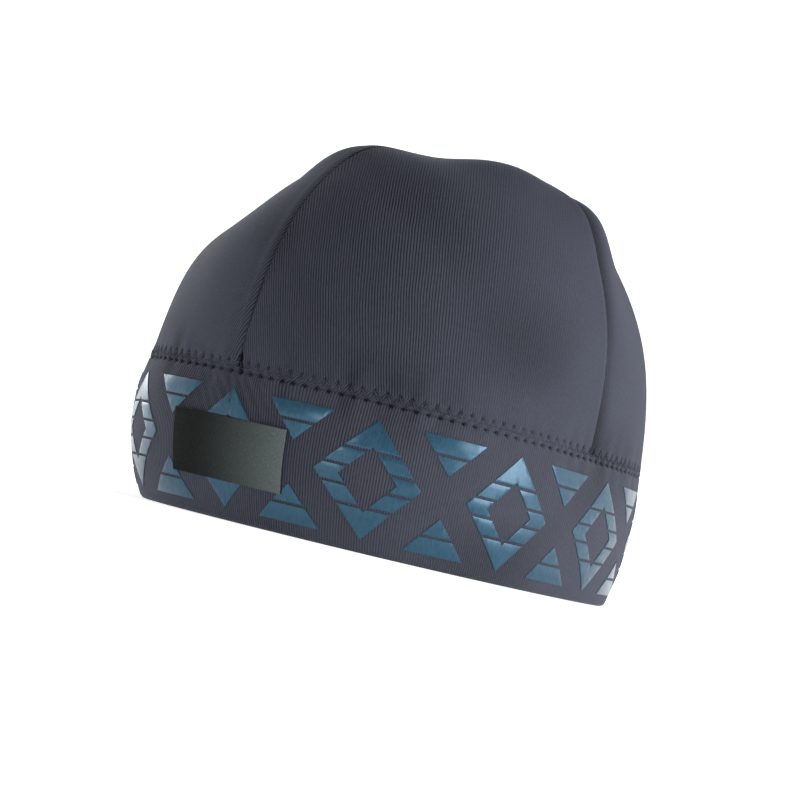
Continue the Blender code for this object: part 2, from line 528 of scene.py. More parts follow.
def cut_gore(name, side, end):
    """A quarter of a divided cube, open towards the other gores, with fine cells by its edges."""
    gore = start_piece(name, bpy.ops.mesh.primitive_cube_add, size=1.0,
                       location=(side * 0.5, end * 0.5, 0.5))
    bpy.ops.object.mode_set(mode="EDIT")
    bpy.ops.mesh.select_all(action="SELECT")
    bpy.ops.mesh.subdivide(number_cuts=GORE_CELLS - 1)
    pick(gore, "FACE", lambda face: min(map(abs, face.calc_center_median())) < ON_PLANE)
    bpy.ops.mesh.delete(type="FACE")
    pick(gore, "FACE", by_an_edge)
    bpy.ops.mesh.subdivide(number_cuts=FINE_CUTS)
    bpy.ops.object.mode_set(mode="OBJECT")
    return gore


def blow_out(gore, side, end):
    """Draw the cells onto the crown, give them a wall, and press the relief into the outside."""
    direction = unit(np.tan(places(gore) * math.pi / 4))
    put(gore, crown_face(direction))
    apply_modifier(gore, "SOLIDIFY", thickness=CROWN_WALL, offset=-1.0, use_even_offset=True)
    points = places(gore)
    half_gap = SEAM_CLEARANCE / 2
    for axis, way in ((0, side), (1, end)):
        points[np.abs(points[:, axis]) < AT_SEAM, axis] = way * half_gap
    points[np.abs(points[:, 2] - JOINT_HEIGHT) < AT_FOOT, 2] = JOINT_HEIGHT + half_gap
    outer = points[:len(direction)]
    relief = crown_relief(outer, direction)
    outer += relief[:, None] * crown_normal(direction)
    for axis, way in ((0, side), (1, end)):
        outer[:, axis] = way * np.maximum(way * outer[:, axis], half_gap)
    outer[:, 2] = np.maximum(outer[:, 2], JOINT_HEIGHT + half_gap)
    put(gore, points)
    mark_pressed(gore, relief)


# %% Lay the ribs of the knit on a gore
RIB_BALL = 0.098
RIB_FAN = 3.2
FAN_MIDDLE = 0.045
FAN_TURNS = 0.110
FOOT_LEAN = 0.53
LEAN_HEIGHT = 0.004
LEAN_WIDTH = 0.020
BALL_EDGE = 0.98
NEAR_AXIS = 0.004

# Where the ribs show clearly: round a place on the two left gores, and along the middle seam
CLEAR_TURN = math.radians(20)
CLEAR_SPREAD = math.radians(34)
CLEAR_HEIGHT = 0.040
CLEAR_TALL = 0.055
CLEAR_BY_SEAM = 0.7
CLEAR_FROM_SEAM = 0.011
RIGHT_SHARE = 0.25
CROWN_FAINT = 0.16


def map_gore(gore, side, end):
    """Ribs fan out from the foot, turn back over the top, and lean where the seams pull."""
    points = places(gore) - (0.0, 0.0, JOINT_HEIGHT)
    middle = heading(math.radians(45 if end < 0 else 135) * side)
    across_way = np.cross((0.0, 0.0, 1.0), middle)
    sideways = points @ across_way
    height = np.clip(points[:, 2], 0, CROWN_RISE)
    away_from_seam = -side * end
    across = RIB_BALL * np.arcsin(np.clip(sideways / RIB_BALL, -BALL_EDGE, BALL_EDGE))
    fan = 1 + RIB_FAN * height * (1 - (height / FAN_TURNS) ** 2)
    across = (across * away_from_seam - FAN_MIDDLE) / fan
    from_seam = np.abs(points[:, 0])
    lean = FOOT_LEAN * LEAN_HEIGHT * (1 - np.exp(-height / LEAN_HEIGHT))
    across = across - lean * np.exp(-(from_seam / LEAN_WIDTH) ** 2)
    across = across - away_from_seam * np.clip(height, 0, HOLE_ROW)
    along = RIB_BALL * np.arctan2(points[:, 2], np.maximum(points @ middle, NEAR_AXIS))
    map_cloth(gore, across, along)
    turn = np.abs(np.arctan2(points[:, 0], end * points[:, 1]))
    stretched = np.exp(-((turn - CLEAR_TURN) / CLEAR_SPREAD) ** 2
                       - ((height - CLEAR_HEIGHT) / CLEAR_TALL) ** 2)
    pulled = CLEAR_BY_SEAM * np.exp(-(from_seam / CLEAR_FROM_SEAM) ** 2)
    shown = np.maximum(stretched if side > 0 else RIGHT_SHARE * stretched, pulled)
    mark(gore, "rib_clear", CROWN_FAINT + (1 - CROWN_FAINT) * shown)


# %% Make the four gores
gores = []
for end_name, end in (("front", -1), ("back", 1)):
    for side_name, side in (("left", 1), ("right", -1)):
        node = f"crown_{end_name}_{side_name}"
        gore = cut_gore(f"gore_{end_name}_{side_name}", side, end)
        blow_out(gore, side, end)
        map_gore(gore, side, end)
        gore.data.shade_smooth()
        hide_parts(node)
        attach(gore, "root")
        gores.append(gore)
        print(gore.name, triangles(gore), "triangles")

# %% [markdown]
# ## Band
#
# The band is one strip, folded double at the rim and closed into a ring, so its wall is thicker
# and its rim is a soft fold with no cut edge. It starts as an open cylinder, gets rows that lie
# closer together at the rim, where the fold bends, and fine cells under the stitches.

# %% Shape the band
BAND_COLUMNS = 500
BAND_CELLS = 40
ROW_CROWDING = 1.35
STITCHED_STRIP = 0.0068
RIM_FOLD = 0.0015

band = start_piece("folded_band", bpy.ops.mesh.primitive_cylinder_add, vertices=BAND_COLUMNS,
                   radius=1.0, depth=1.0, end_fill_type="NOTHING", location=(0.0, 0.0, 0.5))
pick(band, "EDGE", lambda edge: abs(edge.verts[0].co.z - edge.verts[1].co.z) > 0.5)
bpy.ops.mesh.subdivide(number_cuts=BAND_CELLS - 1)
stitched_share = 1 - STITCHED_STRIP / JOINT_HEIGHT
pick(band, "FACE", lambda face: face.calc_center_median().z ** ROW_CROWDING > stitched_share)
bpy.ops.mesh.subdivide(number_cuts=FINE_CUTS)
bpy.ops.object.mode_set(mode="OBJECT")

cells = places(band)
band_azimuth = np.arctan2(cells[:, 0], -cells[:, 1])
top_share = 1 - SEAM_CLEARANCE / 2 / JOINT_HEIGHT
band_share = np.clip(cells[:, 2], 0, 1) ** ROW_CROWDING * top_share
put(band, band_face(band_azimuth, band_share))
outside = len(cells)
apply_modifier(band, "SOLIDIFY", thickness=BAND_WALL, offset=-1.0, use_even_offset=True)
points = places(band)
points[outside:, 2] = points[:outside, 2]

# The relief goes into the outer face, and both faces round over into the fold at the rim
relief = band_relief(points[:outside], band_azimuth)
normal = band_normal(band_azimuth, band_share)
points[:outside] += relief[:, None] * normal
points[:outside, 2] = np.clip(points[:outside, 2], 0, JOINT_HEIGHT - SEAM_CLEARANCE / 2)
for half, inward in ((slice(0, outside), -1), (slice(outside, None), 1)):
    under = np.clip(1 - points[half, 2] / RIM_FOLD, 0, 1)
    tuck = RIM_FOLD * (1 - np.sqrt(1 - under ** 2))
    points[half] += inward * tuck[:, None] * normal * (1, 1, 0)
put(band, points)
mark_pressed(band, relief)
band.data.shade_smooth()
print(band.name, triangles(band), "triangles")

# %% Lay the ribs of the knit on the band
RIB_PULL = 0.0100
PULL_REACH = 0.018
PULL_FALL = 0.014
CLEAR_ASIDE = 0.020
CLEAR_ALONG = 0.085
BAND_FAINT = 0.22

twice_azimuth = np.concatenate((band_azimuth, band_azimuth))
band_run = run_at(twice_azimuth)
below = np.clip(JOINT_HEIGHT - points[:, 2], 0, JOINT_HEIGHT)
from_front = (band_run - GIRTH / 2) / PULL_REACH
pull = RIB_PULL * from_front * np.exp(-from_front ** 2) * np.exp(-(below / PULL_FALL) ** 2)
slant = np.clip(below, 0, HOLE_ROW)
map_cloth(band, band_run + pull + slant, points[:, 2], wrap=GIRTH)
shown = np.exp(-((band_run - GIRTH / 2 - CLEAR_ASIDE) / CLEAR_ALONG) ** 2)
mark(band, "rib_clear", BAND_FAINT + (1 - BAND_FAINT) * shown)
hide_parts("band")
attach(band, "root")

# %% [markdown]
# ## Laying pieces on the band
#
# The label, the print and the thread all lie on the band's outer face. Each is modelled flat,
# in metres of cloth round the band and up from the rim, and one function lays any such flat
# point on the face, with its relief, and lifts it off by a little.

# %% Lay flat points on the band
FRONT = GIRTH / 2


def lay_on_band(run, height, lift, relieved=True):
    """Points on the band at a distance round from the front, a height and a lift."""
    azimuth = azimuth_at(FRONT + run)
    share = height / JOINT_HEIGHT
    points = band_face(azimuth, share)
    if relieved:
        lift = lift + band_relief(points, azimuth)
    return points + lift[:, None] * band_normal(azimuth, share)


# %% [markdown]
# ## Label
#
# The label is a small rectangle of black satin weave with heat-cut edges, pressed flat onto the
# band. It starts as a grid, is laid on the band, and gets a thin wall and a narrow bevel,
# because a crisp cut edge still catches a line of light. Its colour goes from black to grey
# along its length, a painted reflection that lightens the satin towards one end.

# %% Make the label
LABEL_WIDTH = 0.0485
LABEL_HEIGHT = 0.0213
LABEL_MIDDLE = 0.0238
LABEL_ASIDE = 0.0022
LABEL_THICK = 0.0006
LABEL_LIFT = 0.0003
LABEL_CURL = 0.00035
LABEL_BEVEL = 0.00012

label = start_piece("woven_label", bpy.ops.mesh.primitive_grid_add, x_subdivisions=72,
                    y_subdivisions=32, size=1.0)
flat = places(label)
label_across, label_up = flat[:, 0], flat[:, 1]
# Only the corners curl up
corners = (2 * np.abs(label_across)) ** 6 * (2 * np.abs(label_up)) ** 4
lift = LABEL_LIFT + LABEL_CURL * corners
put(label, lay_on_band(LABEL_ASIDE + label_across * LABEL_WIDTH,
                       LABEL_MIDDLE + label_up * LABEL_HEIGHT, lift, relieved=False))
map_cloth(label, label_across * LABEL_WIDTH, label_up * LABEL_HEIGHT)
apply_modifier(label, "SOLIDIFY", thickness=LABEL_THICK, offset=1.0, use_even_offset=True)
apply_modifier(label, "BEVEL", width=LABEL_BEVEL, segments=2, limit_method="ANGLE",
               angle_limit=SHARP_EDGE)
label.data.shade_smooth()
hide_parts("label")
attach(label, "root")
print(label.name, triangles(label), "triangles")

# %% [markdown]
# ## Film print
#
# A glossy film is pressed onto the band in large plain shapes, sliced by thin level gaps. Its
# edges catch the light, so each shape is a thin solid. The shapes are a harlequin border:
# hollow lozenges, with a pair of wedges between each two. Each is modelled flat once, then
# copied round the band.

# %% Model the two flat shapes
LOZENGES = 11
LOZENGE_PITCH = GIRTH / LOZENGES
LOZENGE_HALF_WIDTH = 0.0185
LOZENGE_HALF_HEIGHT = 0.0200
LOZENGE_STROKE = 0.0062
WEDGE_HALF_WIDTH = 0.0118
WEDGE_HEIGHT = 0.0128
SLIT = 0.0009
SLIT_SPACING = 0.0062
PRINT_MIDDLE = 0.0245
FILM_CELL = 0.0017


def slice_flat(shape, half_width, low, high, slits):
    """Cut a flat shape into cells that can bend, and take out the level slits."""
    cuts = [((x, 0, 0), (1, 0, 0)) for x in np.arange(-half_width, half_width, FILM_CELL)]
    cuts += [((0, y, 0), (0, 1, 0)) for y in np.arange(low, high, 2 * FILM_CELL)]
    for middle in slits:
        cuts += [((0, middle + half, 0), (0, 1, 0)) for half in (-SLIT / 2, SLIT / 2)]
    bpy.ops.object.mode_set(mode="EDIT")
    for place, way in cuts:
        bpy.ops.mesh.select_all(action="SELECT")
        bpy.ops.mesh.bisect(plane_co=place, plane_no=way)
    pick(shape, "FACE", lambda face: any(abs(face.calc_center_median().y - slit) < SLIT / 2
                                         for slit in slits))
    bpy.ops.mesh.delete(type="FACE")
    bpy.ops.object.mode_set(mode="OBJECT")


lozenge = start_piece("flat_lozenge", bpy.ops.mesh.primitive_circle_add, vertices=4, radius=1.0,
                      fill_type="NGON")
bpy.ops.object.mode_set(mode="EDIT")
bpy.ops.mesh.select_all(action="SELECT")
bpy.ops.transform.resize(value=(LOZENGE_HALF_WIDTH, LOZENGE_HALF_HEIGHT, 1.0))
bpy.ops.mesh.inset(thickness=LOZENGE_STROKE)
bpy.ops.mesh.delete(type="FACE")
slice_flat(lozenge, LOZENGE_HALF_WIDTH, -LOZENGE_HALF_HEIGHT, LOZENGE_HALF_HEIGHT,
           [SLIT_SPACING * step for step in (-1.5, -0.5, 0.5, 1.5)])

wedge = start_piece("flat_wedge", bpy.ops.mesh.primitive_circle_add, vertices=3, radius=1.0,
                    fill_type="NGON")
corner = places(wedge)
corner[:, 0] *= WEDGE_HALF_WIDTH / np.abs(corner[:, 0]).max()
corner[:, 1] = np.where(corner[:, 1] > 0, WEDGE_HEIGHT, 0.0)
put(wedge, corner)
slice_flat(wedge, WEDGE_HALF_WIDTH, 0.0, WEDGE_HEIGHT, [SLIT_SPACING])

# %% Copy the shapes round the band
FILM_THICK = 0.00022
FILM_LIFT = 0.00003
FILM_BEVEL = 0.00007


def press_on(shape, name, run, middle, up):
    """Copy a flat shape, lay it on the band at a place, and give it its thickness."""
    film = shape.copy()
    film.data = shape.data.copy()
    film.name = name
    film.data.name = name
    bpy.context.scene.collection.objects.link(film)
    flat = places(film)
    across = run + flat[:, 0] * up
    height = middle + flat[:, 1] * up
    put(film, lay_on_band(across, height, np.full(len(flat), FILM_LIFT)))
    map_cloth(film, across, height)
    apply_modifier(film, "SOLIDIFY", thickness=FILM_THICK, offset=1.0)
    apply_modifier(film, "BEVEL", width=FILM_BEVEL, segments=2, limit_method="ANGLE",
                   angle_limit=SHARP_EDGE)
    film.data.shade_smooth()
    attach(film, "root")
    return film


films = []
for index in range(LOZENGES):
    run = LABEL_ASIDE + index * LOZENGE_PITCH
    films.append(press_on(lozenge, f"film_lozenge_{index:02d}", run, PRINT_MIDDLE, 1))
    between = run + LOZENGE_PITCH / 2
    films.append(press_on(wedge, f"film_wedge_low_{index:02d}", between,
                          PRINT_MIDDLE - LOZENGE_HALF_HEIGHT, 1))
    films.append(press_on(wedge, f"film_wedge_high_{index:02d}", between,
                          PRINT_MIDDLE + LOZENGE_HALF_HEIGHT, -1))
for shape in (lozenge, wedge):
    bpy.data.objects.remove(shape, do_unlink=True)
print(len(films), "pieces of film,", sum(triangles(film) for film in films), "triangles")

# %% [markdown]
# ## Cover stitch
#
# One thread zigzags over the joint all the way round. It is a curve with a round bevel that
# rises out of each hole, crosses in its groove and dives into the next hole, and it is made a
# mesh so that it exports as it looks.

# %% Sew the cover stitch
THREAD_RADIUS = 0.00014
THREAD_ARCH = 0.0001
LEG_POINTS = (0.0, 0.16, 0.33, 0.5, 0.67, 0.84)

thread_run = []
thread_height = []
thread_lift = []
for stitch in range(STITCHES):
    for start, end in stitch_legs(stitch):
        for share in LEG_POINTS:
            thread_run.append(start[0] + share * (end[0] - start[0]))
            thread_height.append(start[1] + share * (end[1] - start[1]))
            thread_lift.append(THREAD_ARCH * math.sin(math.pi * share))
thread_run, thread_height = np.array(thread_run), np.array(thread_height)
thread_azimuth = azimuth_at(thread_run)
on_joint = band_face(thread_azimuth, np.ones_like(thread_azimuth))
thread_normal = band_normal(thread_azimuth, np.ones_like(thread_azimuth))
lift = np.array(thread_lift) + stitch_relief(thread_run, thread_height)
lift = lift + ripples(thread_run, thread_height)
sewn = on_joint + lift[:, None] * thread_normal
sewn[:, 2] = JOINT_HEIGHT + thread_height

line = bpy.data.curves.new("cover_stitch", "CURVE")
line.dimensions = "3D"
line.bevel_depth = THREAD_RADIUS
line.bevel_resolution = 1
spline = line.splines.new("POLY")
spline.points.add(len(sewn) - 1)
spline.points.foreach_set("co", np.hstack((sewn, np.ones((len(sewn), 1)))).ravel())
spline.use_cyclic_u = True
thread = bpy.data.objects.new("cover_stitch", line)
bpy.context.scene.collection.objects.link(thread)
take_up(thread)
bpy.ops.object.convert(target="MESH")
thread = bpy.context.object
thread.data.shade_smooth()
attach(thread, "root")
print(thread.name, triangles(thread), "triangles")

# %% [markdown]

# %% [markdown]
# ## Knit, grain and painted shade in pressed marks
#
# The neoprene is faced with a fine jersey. Close up it shows upright ribs, ten or eleven to the
# centimetre, that come and go with the stretch of the cloth, and a fine grain of fibres. The
# crown and the band share the ribs, and the label and the film use the grain too, so each is
# a node group that is built once and placed with its own values.

# %% Node helpers
def new_group(name, inputs, outputs):
    """Empty node group and its two ends. An input with no value of its own is a vector."""
    group = bpy.data.node_groups.new(name, "ShaderNodeTree")
    for socket, value in inputs.items():
        kind = "NodeSocketVector" if value is None else "NodeSocketFloat"
        made = group.interface.new_socket(socket, in_out="INPUT", socket_type=kind)
        if value is not None:
            made.default_value = value
    for socket in outputs:
        group.interface.new_socket(socket, in_out="OUTPUT", socket_type="NodeSocketFloat")
    return group, group.nodes.new("NodeGroupInput"), group.nodes.new("NodeGroupOutput")


def feed(tree, socket, value):
    """Link a socket to an output, or set it to a plain value."""
    if hasattr(value, "is_linked"):
        tree.links.new(value, socket)
    else:
        socket.default_value = value


def number(tree, operation, *values):
    """Math node with its inputs fed, and its output."""
    node = tree.nodes.new("ShaderNodeMath")
    node.operation = operation
    for socket, value in zip(node.inputs, values):
        feed(tree, socket, value)
    return node.outputs[0]


def noise(tree, vector, scale, detail=2.0, roughness=0.5):
    """Noise node on a vector, and its number output."""
    node = tree.nodes.new("ShaderNodeTexNoise")
    for name, value in (("Vector", vector), ("Scale", scale), ("Detail", detail),
                        ("Roughness", roughness)):
        feed(tree, node.inputs[name], value)
    return node.outputs["Fac"]


def vector_of(tree, x, y, z=0.0):
    """Vector put together from three numbers."""
    node = tree.nodes.new("ShaderNodeCombineXYZ")
    for socket, value in zip(node.inputs, (x, y, z)):
        feed(tree, socket, value)
    return node.outputs[0]


def split(tree, vector):
    """The three numbers of a vector."""
    node = tree.nodes.new("ShaderNodeSeparateXYZ")
    feed(tree, node.inputs[0], vector)
    return node.outputs


def spread(tree, value, low, high, to_low=0.0, to_high=1.0):
    """A number stretched from one range to another, and held inside it."""
    node = tree.nodes.new("ShaderNodeMapRange")
    for socket, size in zip(node.inputs, (value, low, high, to_low, to_high)):
        feed(tree, socket, size)
    return node.outputs[0]


# %% Ribs of the knit
# Scales are noise cells a metre, across the ribs and along them
RIB_WANDER = 0.0012
WANDER_SCALE = (90.0, 45.0)
PATCH_SCALE = (26.0, 16.0)
PATCH_LAYER = 3.7
VALLEY_POWER = 1.5


def scaled(tree, across, along, scales, layer=0.0):
    """Place in a noise, from distances on the cloth and a scale each way."""
    return vector_of(tree, number(tree, "MULTIPLY", across, scales[0]),
                     number(tree, "MULTIPLY", along, scales[1]), layer)


def build_ribs():
    """Upright ribs with dark valleys, which wander and fade as the cloth stretches."""
    group, start, end = new_group(
        "Knit ribs", {"Cloth": None, "Spacing": 0.0015, "Fade": 0.5, "Clear": 1.0}, ["Height"])
    across, along, _ = split(group, start.outputs["Cloth"])
    slow = scaled(group, across, along, WANDER_SCALE)
    wander = number(group, "SUBTRACT", noise(group, slow, 1.0, 1.0), 0.5)
    moved = number(group, "ADD", across, number(group, "MULTIPLY", wander, RIB_WANDER))
    turn = number(group, "MULTIPLY", number(group, "DIVIDE", moved, start.outputs["Spacing"]),
                  math.tau)
    wave = number(group, "MULTIPLY_ADD", number(group, "SINE", turn), 0.5, 0.5)
    valley = number(group, "POWER", wave, VALLEY_POWER)
    patch = scaled(group, across, along, PATCH_SCALE, PATCH_LAYER)
    clear = spread(group, noise(group, patch, 1.0, 1.5), 0.36, 0.62)
    kept = number(group, "SUBTRACT", 1.0, number(group, "MULTIPLY", start.outputs["Fade"],
                                                 number(group, "SUBTRACT", 1.0, clear)))
    masked = number(group, "MULTIPLY", number(group, "MULTIPLY", valley, kept),
                    start.outputs["Clear"])
    group.links.new(number(group, "SUBTRACT", 1.0, masked), end.inputs["Height"])
    return group


# %% Grain of the fibres
GRAIN_DRAWN_OUT = 0.45
BRUSHED_SCALE = 34.0


def build_grain():
    """Fine grain, drawn out a little along the ribs, and soft patches of brushed fibre."""
    group, start, end = new_group(
        "Fibre grain", {"Cloth": None, "Place": None, "Size": 0.0006}, ["Grain", "Patch"])
    across, along, _ = split(group, start.outputs["Cloth"])
    fine = number(group, "DIVIDE", 1.0, start.outputs["Size"])
    drawn = vector_of(group, number(group, "MULTIPLY", across, fine),
                      number(group, "MULTIPLY", number(group, "MULTIPLY", along, fine),
                              GRAIN_DRAWN_OUT))
    group.links.new(noise(group, drawn, 1.0, 2.5, 0.65), end.inputs["Grain"])
    group.links.new(noise(group, start.outputs["Place"], BRUSHED_SCALE), end.inputs["Patch"])
    return group


ribs_group = build_ribs()
grain_group = build_grain()


# %% [markdown]
# ## Materials
#
# Every cloth mixes a darker and a lighter shade by its ribs or its weave and by its grain, and
# the same numbers drive its bump, so that colour and height agree. A low sheen gives the soft
# bright border that knitted neoprene has where the face turns away.

# %% Material helpers
def new_material(name, **values):
    """Material with its shader's plain values set, its tree and its shader."""
    material = bpy.data.materials.new(name)
    material.use_nodes = True
    shader = material.node_tree.nodes["Principled BSDF"]
    for key, value in values.items():
        shader.inputs[key.replace("_", " ")].default_value = value
    return material, material.node_tree, shader


def place_group(tree, group, **values):
    """Group node with its inputs fed."""
    node = tree.nodes.new("ShaderNodeGroup")
    node.node_tree = group
    for key, value in values.items():
        feed(tree, node.inputs[key], value)
    return node.outputs


def cloth_map(tree):
    """The piece's own map in metres of cloth."""
    node = tree.nodes.new("ShaderNodeUVMap")
    node.uv_map = "cloth"
    return node.outputs["UV"]


def object_place(tree):
    """Object coordinates."""
    return tree.nodes.new("ShaderNodeTexCoord").outputs["Object"]


def marked(tree, name):
    """A number written on the vertices."""
    node = tree.nodes.new("ShaderNodeAttribute")
    node.attribute_name = name
    return node.outputs["Fac"]


def mix(tree, factor, dark, light):
    """Colour mixed between two colours."""
    node = tree.nodes.new("ShaderNodeMix")
    node.data_type = "RGBA"
    node.clamp_factor = True
    feed(tree, node.inputs["Factor"], factor)
    feed(tree, node.inputs[6], dark)
    feed(tree, node.inputs[7], light)
    return node.outputs[2]


def colour(tree, shader, factor, dark, light):
    """Shader's colour mixed between two colours."""
    feed(tree, shader.inputs["Base Color"], mix(tree, factor, dark, light))


def bump(tree, shader, height, distance):
    """Bump from a height, in metres."""
    node = tree.nodes.new("ShaderNodeBump")
    node.inputs["Distance"].default_value = distance
    feed(tree, node.inputs["Height"], height)
    tree.links.new(node.outputs["Normal"], shader.inputs["Normal"])


# %% Neoprene cloth
CROWN_DARK = (0.003, 0.004, 0.007, 1.0)
CROWN_LIGHT = (0.053, 0.058, 0.080, 1.0)
BAND_DARK = (0.004, 0.005, 0.008, 1.0)
BAND_LIGHT = (0.058, 0.062, 0.085, 1.0)

# Spacing of the ribs, how far they fade in patches, and how far they shade the cloth. On the
# band a whole number of them goes round
CROWN_RIBS = (0.00092, 0.20, 1.00)
BAND_RIBS = (GIRTH / round(GIRTH / 0.00098), 0.30, 0.70)

# Shade between the dark and the light colour, and what grain and patches add or take. Pressed
# marks and the crown's seams take off painted shade
TOP_SHADE = 0.92
GRAIN_SHADE = 0.55
PATCH_SHADE = 0.16
PRESSED_PAINTED_SHADE = 0.75
SEAM_SHADE = 0.6
SEAM_LINE = 0.0004
SEAM_CORE = 0.0001
GRAIN_SIZE = 0.0007
GRAIN_HEIGHT = 0.45
CLOTH_BUMP = 0.00026
FIBRE_SCALE = 900.0


def seam_shadow(tree):
    """How near a point is to the two planes that the crown's seams lie in, broken by fibres."""
    x, y, _ = split(tree, object_place(tree))
    nearer = number(tree, "MINIMUM", number(tree, "ABSOLUTE", x), number(tree, "ABSOLUTE", y))
    near = spread(tree, nearer, SEAM_CORE, SEAM_LINE, 1.0, 0.0)
    fibres = spread(tree, noise(tree, object_place(tree), FIBRE_SCALE), 0.40, 0.60, 0.65, 1.0)
    return number(tree, "MULTIPLY", near, fibres)


def make_cloth(name, dark, light, rib_values, seams):
    """Jersey-faced neoprene: ribs, grain, painted shade in pressed marks and at the crown's
    seams.
    """
    spacing, fade, rib_shade = rib_values
    material, tree, shader = new_material(
        name, Roughness=0.82, Sheen_Weight=0.10, Sheen_Roughness=0.38,
        Sheen_Tint=(0.72, 0.80, 1.0, 1.0), Specular_IOR_Level=0.18)
    cloth = cloth_map(tree)
    ribs = place_group(tree, ribs_group, Cloth=cloth, Spacing=spacing, Fade=fade,
                       Clear=marked(tree, "rib_clear"))
    grain = place_group(tree, grain_group, Cloth=cloth, Place=object_place(tree),
                        Size=GRAIN_SIZE)
    shade = number(tree, "MULTIPLY_ADD", ribs["Height"], rib_shade, TOP_SHADE - rib_shade)
    for output, share in (("Grain", GRAIN_SHADE), ("Patch", PATCH_SHADE)):
        away = number(tree, "SUBTRACT", grain[output], 0.5)
        shade = number(tree, "MULTIPLY_ADD", away, share, shade)
    # Painted shade: darker where the relief sinks, in holes, grooves, creases and seam valleys
    painted_shade = number(tree, "MULTIPLY", marked(tree, "pressed"), -PRESSED_PAINTED_SHADE)
    # Painted shadow along the lines of the crown's seams
    if seams:
        painted_shade = number(tree, "MULTIPLY_ADD", seam_shadow(tree), -SEAM_SHADE, painted_shade)
    shade = number(tree, "ADD", shade, painted_shade)
    colour(tree, shader, shade, dark, light)
    height = number(tree, "MULTIPLY_ADD", grain["Grain"], GRAIN_HEIGHT, ribs["Height"])
    bump(tree, shader, height, CLOTH_BUMP)
    return material


crown_cloth = make_cloth("crown_jersey", CROWN_DARK, CROWN_LIGHT, CROWN_RIBS, True)
band_cloth = make_cloth("band_jersey", BAND_DARK, BAND_LIGHT, BAND_RIBS, False)
for gore in gores:
    paint(gore, crown_cloth)
paint(band, band_cloth)

# %% Satin of the label
WEFT_SPACING = 0.00042
WARP_SPACING = 0.00055
SATIN_GRAIN = 0.0004
# Where along the label the painted reflection starts and ends, and how fast it grows
REFLECTION_PAINT_FROM = -0.4 * LABEL_WIDTH
REFLECTION_PAINT_TO = 0.52 * LABEL_WIDTH
REFLECTION_PAINT_POWER = 1.9
SATIN_BUMP = 0.00018

# Dull and shining threads, each at the black end and at the grey end of the painted reflection
DULL_ENDS = ((0.001, 0.001, 0.001, 1.0), (0.046, 0.057, 0.057, 1.0))
SHINE_ENDS = ((0.002, 0.003, 0.003, 1.0), (0.175, 0.208, 0.205, 1.0))

label_cloth, tree, shader = new_material(
    "label_satin", Roughness=0.36, Specular_IOR_Level=0.07,
    Specular_Tint=(0.90, 1.0, 0.97, 1.0))
cloth = cloth_map(tree)
across, along, _ = split(tree, cloth)
weft = number(tree, "SINE", number(tree, "MULTIPLY", along, math.tau / WEFT_SPACING))
warp = number(tree, "SINE", number(tree, "MULTIPLY", number(tree, "ADD", across, along),
                                   math.tau / WARP_SPACING))
weave = number(tree, "MULTIPLY_ADD", number(tree, "MULTIPLY", weft, warp), 0.5, 0.5)
grain = place_group(tree, grain_group, Cloth=cloth, Place=object_place(tree),
                    Size=SATIN_GRAIN)
speck = number(tree, "MULTIPLY_ADD", grain["Grain"], 1.2, number(tree, "MULTIPLY", weave, 0.25))
# Painted reflection: the satin's colour grows lighter along the label, from black to grey
painted_reflection = number(tree, "POWER", spread(tree, across, REFLECTION_PAINT_FROM, REFLECTION_PAINT_TO), REFLECTION_PAINT_POWER)
shine = mix(tree, painted_reflection, *SHINE_ENDS)
dull = mix(tree, painted_reflection, *DULL_ENDS)
shown = number(tree, "SUBTRACT", speck, 0.25)
colour(tree, shader, shown, dull, shine)
bump(tree, shader, speck, SATIN_BUMP)
paint(label, label_cloth)

# %% Thread
THREAD_DARK = (0.018, 0.020, 0.028, 1.0)
THREAD_LIGHT = (0.070, 0.075, 0.100, 1.0)
THREAD_BUMP = 0.0001

thread_cloth, tree, shader = new_material(
    "stitch_thread", Roughness=0.6, Sheen_Weight=0.15, Sheen_Roughness=0.35,
    Sheen_Tint=(0.8, 0.85, 1.0, 1.0), Specular_IOR_Level=0.3)
twist = noise(tree, object_place(tree), FIBRE_SCALE)
colour(tree, shader, spread(tree, twist, 0.35, 0.65), THREAD_DARK, THREAD_LIGHT)
bump(tree, shader, twist, THREAD_BUMP)
paint(thread, thread_cloth)

# %% [markdown]
# ## Film
#
# The film looks dark teal where it faces the camera and pale silver where it turns away. It is
# one coloured metallic lacquer under a clear gloss, and the studio's lights do the rest.

# %% Film lacquer
FILM_DARK = (0.004, 0.045, 0.090, 1.0)
FILM_LIGHT = (0.012, 0.080, 0.135, 1.0)
FLECK_SIZE = 0.0011
FILM_ROUGHNESS = (0.28, 0.42)
FILM_BUMP = 0.00004

film_gloss, tree, shader = new_material(
    "film_lacquer", Metallic=0.50, Coat_Weight=0.50, Coat_Roughness=0.22,
    Specular_IOR_Level=0.35)
cloth = cloth_map(tree)
grain = place_group(tree, grain_group, Cloth=cloth, Place=object_place(tree), Size=FLECK_SIZE)
colour(tree, shader, spread(tree, grain["Grain"], 0.3, 0.7), FILM_DARK, FILM_LIGHT)
rough = spread(tree, grain["Patch"], 0.3, 0.7, *FILM_ROUGHNESS)
feed(tree, shader.inputs["Roughness"], rough)
bump(tree, shader, grain["Grain"], FILM_BUMP)
for film in films:
    paint(film, film_gloss)

# %% [markdown]
# ## Studio
#
# The picture is a plain product shot: the hat stands on a pale seamless floor that curves up
# all round, between two large soft lights and a smaller one in front, with the camera low. The
# floor glows to stay white, less under the hat, where a soft shadow is left, and hardly at all
# far in front, so that the film and the cloth keep their dark tones.

# %% Floor that curves up
FLOOR_HALF = 6.0
FLOOR_CELLS = 120
FLAT_RADIUS = 1.3
BOWL_RADIUS = 4.0

# How bright the paper glows: about the hat, under it and far in front, and from which distance
# to which it changes
PAPER_GLOW = 0.72
NEAR_GLOW = 0.58
NEAR_FADE = (0.10, 0.30)
FRONT_GLOW = 0.06
FRONT_FADE = (0.8, 1.6)
FRONT_WAY = heading(math.radians(8))

